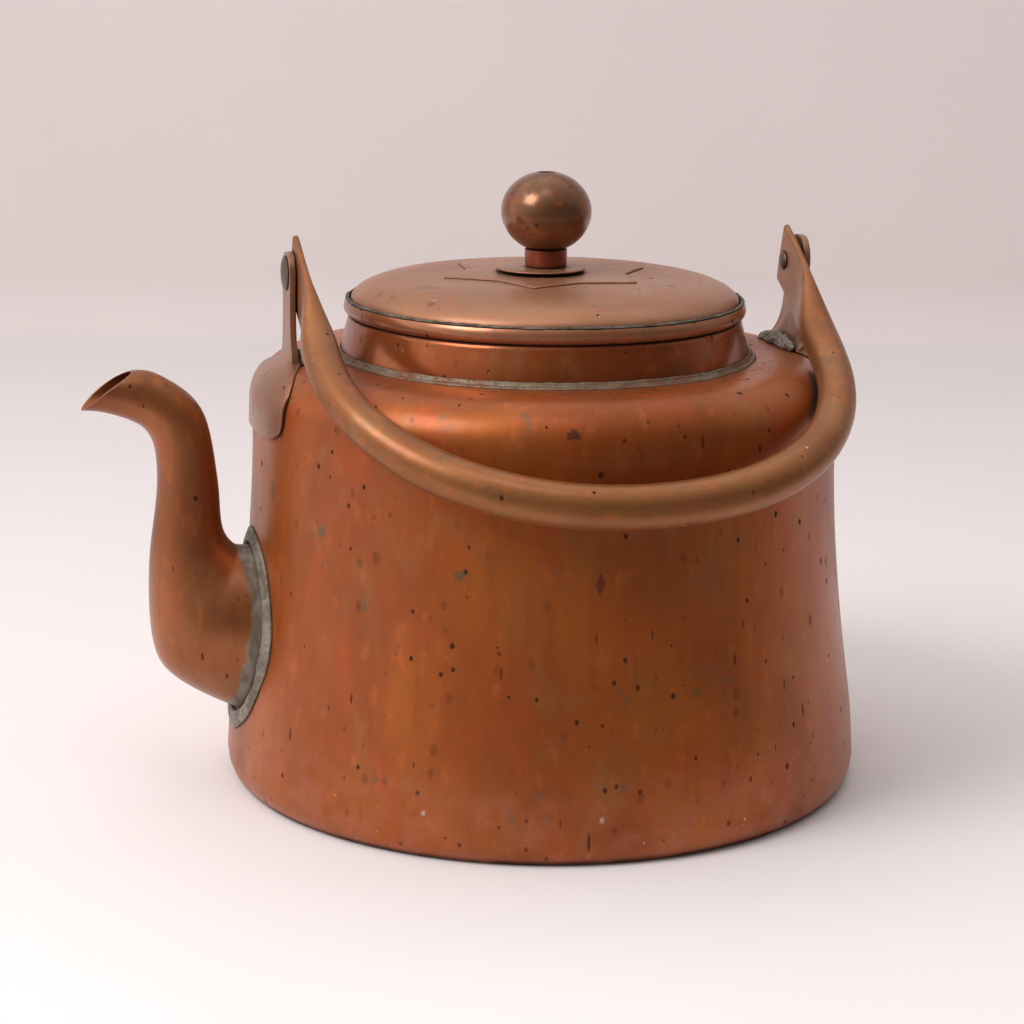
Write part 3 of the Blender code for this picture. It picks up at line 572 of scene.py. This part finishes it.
# The wear that an old kettle shows on its outer side: each blot's place, half sizes and colour.
WALL_MARKS = (
    (on_wall(-100, 0.94), (0.0034, 0.0030, 0.0024), GRIME_AND_SHADE),
    (on_wall(-80, 0.95), (0.0020, 0.0020, 0.0010), GRIME_AND_SHADE),
    (on_wall(-95, 0.62), (0.0020, 0.0040, 0.0045), PLUM),
    (on_wall(-120, 0.63), (0.0028, 0.0028, 0.0026), GREY_GREEN),
    (on_wall(-150, 0.68), (0.0026, 0.0034, 0.0030), GREY_GREEN),
    (on_wall(-125, 0.11), (0.0016, 0.0014, 0.0014), TIN),
    (on_wall(-95, 0.11), (0.0014, 0.0014, 0.0020), TIN),
)

# Each copper's main tone, then a deeper, a redder and a greyer one
WALL_TONES = ((0.39, 0.10, 0.014), (0.27, 0.06, 0.010), (0.38, 0.07, 0.014), (0.30, 0.11, 0.034))
SPOUT_TONES = ((0.36, 0.125, 0.04), (0.23, 0.07, 0.024), (0.35, 0.085, 0.032), (0.29, 0.14, 0.065))
COLLAR_TONES = ((0.37, 0.10, 0.025), (0.27, 0.06, 0.014), (0.36, 0.07, 0.017), (0.34, 0.14, 0.065))
LID_TONES = ((0.40, 0.185, 0.10), (0.32, 0.14, 0.07), (0.39, 0.155, 0.075), (0.34, 0.195, 0.115))
HANDLE_TONES = ((0.31, 0.12, 0.038), (0.25, 0.085, 0.024), (0.32, 0.105, 0.04), (0.28, 0.135, 0.053))
LUG_TONES = ((0.33, 0.155, 0.085), (0.235, 0.10, 0.05), (0.30, 0.115, 0.06), (0.295, 0.18, 0.11))
RIM_TONES = ((0.40, 0.165, 0.085), (0.335, 0.12, 0.052), (0.385, 0.125, 0.056), (0.36, 0.185, 0.11))
KNOB_TONES = ((0.27, 0.115, 0.05), (0.15, 0.055, 0.027), (0.22, 0.075, 0.038), (0.21, 0.125, 0.068))
NECK_TONES = ((0.30, 0.06, 0.024), (0.18, 0.036, 0.016), (0.32, 0.055, 0.022), (0.24, 0.10, 0.05))
RIVET_TONES = ((0.15, 0.085, 0.055), (0.08, 0.045, 0.03), (0.14, 0.065, 0.035), (0.15, 0.11, 0.075))
DRIP = (1, 1, 1.8)  # patterns on upright sheet are drawn out downwards

TIN_REACH = 0.0060  # how far the solder covers the spout, off the wall
TIN_EDGE = 0.0018
TIN_RAGGED = 0.012
TIN_ROUGHNESS = 0.48


def tinned(s):
    """Covers the spout's root with solder that ran over it, up to a ragged edge."""
    place = s.add("ShaderNodeSeparateXYZ", {"Vector": s.place}).outputs
    squares = s.maths("ADD", s.times(place["X"], place["X"]), s.times(place["Y"], place["Y"]))
    low, high = FOOT_TOP, SPOUT_ROOT_TOP
    flare = (wall_radius(low) - wall_radius(high)) / (high - low)
    wall = s.maths("SUBTRACT", wall_radius(low), s.times(s.maths("SUBTRACT", place["Z"], low), flare))
    off_wall = s.maths("SUBTRACT", s.maths("SQRT", squares), wall)
    ragged = s.times(s.maths("SUBTRACT", s.noise(0.016, seed=3.0), 0.5), TIN_RAGGED)
    covered = s.ramp(s.maths("ADD", off_wall, ragged), TIN_REACH - TIN_EDGE, TIN_REACH, 1.0, 0.0)
    streaks = s.ramp(s.noise(0.0045, (1, 1, 4), seed=6.0, detail=4.0), 0.40, 0.66)
    grey = s.mix(streaks, DULL_SOLDER, BRIGHT_SOLDER)
    colour = s.shader.inputs["Base Color"]
    s.tree.links.new(s.mix(covered, colour.links[0].from_socket, grey), colour)
    uncovered = s.maths("SUBTRACT", 1.0, covered)
    for name, value in (("Metallic", SOLDER_METALLIC), ("Roughness", TIN_ROUGHNESS), ("Coat Weight", 0.0)):
        socket = s.shader.inputs[name]
        bare = s.times(uncovered, socket.links[0].from_socket)
        s.tree.links.new(s.maths("ADD", s.times(covered, value), bare), socket)
    return s


WALL = copper(
    "wall_copper", WALL_TONES, DRIP, pits=0.30, specks=0.3, rough=(0.39, 0.49), seed=0.4,
    marks=WALL_MARKS, where=near_foot,
).material
SPOUT = tinned(copper("spout_copper", SPOUT_TONES, DRIP, pits=0.16, seed=11.0)).material
COLLAR = copper("collar_copper", COLLAR_TONES, pits=0.3, rough=(0.18, 0.28), seed=21.0).material
RIM = copper("rim_copper", RIM_TONES, pits=0.2, rough=(0.24, 0.34), seed=26.0).material
LID = copper("lid_copper", LID_TONES, pits=0.07, rough=(0.42, 0.52), seed=31.0).material
HANDLE = copper(
    "handle_copper", HANDLE_TONES, pits=0.12, specks=0.12, rough=(0.35, 0.45), seed=41.0
).material
LUG = copper("lug_copper", LUG_TONES, pits=0.2, seed=51.0).material
KNOB = copper("knob_copper", KNOB_TONES, pits=0.25, rough=(0.18, 0.28), seed=61.0).material
NECK = copper("neck_copper", NECK_TONES, pits=0.2, seed=71.0).material
RIVET = copper("rivet_copper", RIVET_TONES, pits=0.3, rough=(0.4, 0.55), seed=91.0).material

SOLDER = solder("grey_solder", dull=DULL_SOLDER, pale=BRIGHT_SOLDER, green=0.15)
PALE_SOLDER = solder(
    "pale_solder", dull=(0.190, 0.088, 0.045), pale=(0.210, 0.165, 0.110), green=0.15, seed=5.0
)
SEAM_SOLDER = solder(
    "seam_solder", dull=(0.045, 0.028, 0.018), pale=(0.150, 0.125, 0.085), green=0.2, seed=8.0
)


# Body ---------------------------------------------------------------------------------------------


def body_shell():
    """Wall and shoulder, as one turned sheet. The seam with the base pan is burnished shut."""
    shell = turned_mesh("body_shell", steps=320, spacing=0.002, edge=FLUSH)
    for vertex in shell.vertices:
        if vertex.co.z < FOOT_TOP + FLUSH:
            vertex.co.z -= SEAM_GAP
    add_piece("body_shell", shell, WALL)


def base_pan():
    pan = turned_mesh("base_pan", steps=320, spacing=0.002, edge=FLUSH)
    add_piece("base_pan", pan, WALL)


def collar():
    add_piece("collar", turned_mesh("collar", steps=256, spacing=0.001), COLLAR)


def solder_rings():
    """Solder inside over the base pan's rim, round the collar's foot and in the lid's seam."""
    rings = (
        ("base_solder", 256, 0.0006, SOLDER, RING_LUMPS, 0.0),
        ("collar_solder", 384, 0.0005, PALE_SOLDER, RING_LUMPS, SWELL),
        ("lid_seam_solder", 384, 0.0003, SEAM_SOLDER, SEAM_LUMPS, 0.0),
    )
    for node, steps, spacing, material, layers, swell in rings:
        add_piece(node, turned_mesh(node, steps, spacing), material, layers, swell)


def spout():
    add_piece("spout", refined_mesh("spout", levels=3), SPOUT)
    root = refined_mesh("spout_solder", levels=4, crease=0.3)
    add_piece("spout_solder", root, SOLDER, SPOUT_ROOT_LUMPS, SWELL)


def lugs():
    """The two lugs, with their rivets and the solder behind their feet."""
    for place in ("front", "rear"):
        lug = refined_mesh(place + "_lug", levels=3, crease=0.85)
        add_piece(place + "_lug", lug, LUG)
        rivet = refined_mesh(place + "_pivot_rivet", levels=3, crease=0.5)
        add_piece(place + "_pivot_rivet", rivet, RIVET, RIVET_LUMPS)
        foot = refined_mesh(place + "_lug_solder", levels=4, crease=0.3)
        add_piece(place + "_lug_solder", foot, SOLDER, LUG_FOOT_LUMPS, SWELL)


def handle():
    add_piece("handle_tube", refined_mesh("handle_tube", levels=2), HANDLE)


# Lid ----------------------------------------------------------------------------------------------


def lid():
    """Dome, rim and plug, the star plate and the knob with its washers, neck and rod."""
    add_piece("lid_dome", turned_mesh("lid_dome", steps=256), LID)
    add_piece("lid_rim", turned_mesh("lid_rim", steps=256, spacing=0.0008), RIM)
    add_piece("lid_plug", turned_mesh("lid_plug", steps=256), LID)
    star = refined_mesh("star_plate", levels=2, crease=1.0)
    for vertex in star.vertices:
        vertex.co.z -= STAR_SINKS
    add_piece("star_plate", star, LID)
    inner_washer = turned_mesh("lid_inner_washer", steps=96, spacing=0.0008)
    add_piece("lid_inner_washer", inner_washer, LID)
    add_piece("knob_washer", refined_mesh("knob_washer", levels=2, crease=0.9), LID)
    add_piece("knob_neck", turned_mesh("knob_neck", steps=96, spacing=0.0008), NECK)
    add_piece("knob_ball", turned_mesh("knob_ball", steps=160, spacing=0.0008), KNOB)
    add_piece("knob_rod", turned_mesh("knob_rod", steps=48, spacing=0.0008), RIVET)


noise.seed_set(WARP_SEED)
body_shell()
base_pan()
collar()
solder_rings()
spout()
lugs()
handle()
lid()


# Studio -------------------------------------------------------------------------------------------

# Two level directions: from the camera towards the kettle, and towards the picture's right.
AWAY = Vector((math.sin(CAMERA_ROUND), math.cos(CAMERA_ROUND), 0))
ASIDE = Vector((AWAY.y, -AWAY.x, 0))


def camera():
    seen = bpy.data.cameras.new("camera")
    seen.sensor_width = CAMERA_SENSOR
    seen.lens = CAMERA_LENS
    holder = bpy.data.objects.new("camera", seen)
    bpy.context.scene.collection.objects.link(holder)
    turn = Matrix.Rotation(CAMERA_PAN - CAMERA_ROUND, 4, "Z")
    tilt = Matrix.Rotation(math.pi / 2 - CAMERA_PITCH, 4, "X")
    roll = Matrix.Rotation(CAMERA_ROLL, 4, "Z")
    place = -AWAY * CAMERA_DISTANCE + Vector((0, 0, CAMERA_HEIGHT))
    holder.matrix_world = Matrix.Translation(place) @ turn @ tilt @ roll
    bpy.context.scene.camera = holder


def paper(name, colour):
    """Matt paper, with faint cloudiness. Copper mirrors it darker where it lies far out in front."""
    s = Surface(name)
    cloud = s.ramp(s.noise(0.25, detail=2.0), 0.35, 0.65)
    shade = s.mix(cloud, colour, tuple(0.985 * c for c in colour))
    towards = s.vectors("DOT_PRODUCT", s.place, ASIDE * 0.5 - AWAY)
    outside = s.ramp(towards.outputs["Value"], PAPER_MIRRORED, 2 * PAPER_MIRRORED)
    mirrored = s.add("ShaderNodeLightPath").outputs["Is Glossy Ray"]
    # Painted shade in reflections: copper mirrors the far paper in front darkened, while the camera sees it
    # pale
    shade = s.mix(s.times(s.times(outside, mirrored), 0.8), shade, GRIME_AND_SHADE)
    return s.finish(colour=shade, roughness=0.8, metallic=0.0)


def backdrop():
    """Pale floor that curves up into a backdrop behind the kettle."""
    profile = [(-FLOOR_SIDE, 0.0)]
    for step in range(BACKDROP_STEPS + 1):
        angle = math.pi / 2 * step / BACKDROP_STEPS
        along = BACKDROP_DISTANCE - BACKDROP_CURVE + BACKDROP_CURVE * math.sin(angle)
        profile.append((along, BACKDROP_CURVE * (1 - math.cos(angle))))
    profile.append((BACKDROP_DISTANCE, BACKDROP_HEIGHT))
    points = []
    for along, height in profile:
        for side in (-FLOOR_SIDE, FLOOR_SIDE):
            points.append(AWAY * along + ASIDE * side + Vector((0, 0, height)))
    faces = [(2 * k, 2 * k + 1, 2 * k + 3, 2 * k + 2) for k in range(len(profile) - 1)]
    mesh = bpy.data.meshes.new("floor")
    mesh.from_pydata(points, [], faces)
    mesh.shade_smooth()
    mesh.materials.append(paper("floor_paper", (0.88, 0.83, 0.83)))
    mesh.materials.append(paper("wall_paper", (0.92, 0.83, 0.82)))
    for face in mesh.polygons[FLOOR_FACES:]:
        face.material_index = 1
    floor = bpy.data.objects.new("floor", mesh)
    bpy.context.scene.collection.objects.link(floor)


def softbox(name, place, size, watts):
    """A square area light that faces the kettle. Its place is given aside, away from the camera and up."""
    light = bpy.data.lights.new(name, "AREA")
    light.size = size
    light.energy = watts
    light.color = LAMP_WHITE
    holder = bpy.data.objects.new(name, light)
    aside, away, up = place
    holder.location = ASIDE * aside + AWAY * away + Vector((0, 0, up))
    facing = Vector((0, 0, BODY_TOP / 2)) - holder.location
    holder.rotation_euler = facing.to_track_quat("-Z", "Y").to_euler()
    bpy.context.scene.collection.objects.link(holder)


def world():
    """Soft surroundings, brighter beyond the kettle, overhead and on the left than behind the camera."""
    made = bpy.data.worlds.new("studio")
    made.use_nodes = True
    tree = made.node_tree
    direction = tree.nodes.new("ShaderNodeTexCoord").outputs["Generated"]
    facing = tree.nodes.new("ShaderNodeVectorMath")
    facing.operation = "DOT_PRODUCT"
    facing.inputs[1].default_value = AWAY - ASIDE * 0.7 + Vector((0, 0, 0.6))
    tree.links.new(direction, facing.inputs[0])
    spread = tree.nodes.new("ShaderNodeMapRange")
    spread.inputs["From Min"].default_value = DIM_FACING
    spread.inputs["From Max"].default_value = BRIGHT_FACING
    spread.inputs["To Min"].default_value = DIM
    spread.inputs["To Max"].default_value = BRIGHT
    tree.links.new(facing.outputs["Value"], spread.inputs["Value"])
    seen = tree.nodes.new("ShaderNodeMix")  # the camera sees beyond the floor's edge as pale as the paper
    tree.links.new(tree.nodes.new("ShaderNodeLightPath").outputs["Is Camera Ray"], seen.inputs["Factor"])
    tree.links.new(spread.outputs["Result"], seen.inputs["A"])
    seen.inputs["B"].default_value = PALE_BEYOND
    background = tree.nodes["Background"]
    background.inputs["Color"].default_value = (*LAMP_WHITE, 1.0)
    tree.links.new(seen.outputs["Result"], background.inputs["Strength"])
    bpy.context.scene.world = made


camera()
backdrop()
world()
softbox("overhead", OVERHEAD_PLACE, size=0.5, watts=1.2)
softbox("key", KEY_PLACE, size=0.7, watts=13.0)
bpy.context.scene.view_settings.view_transform = "Standard"
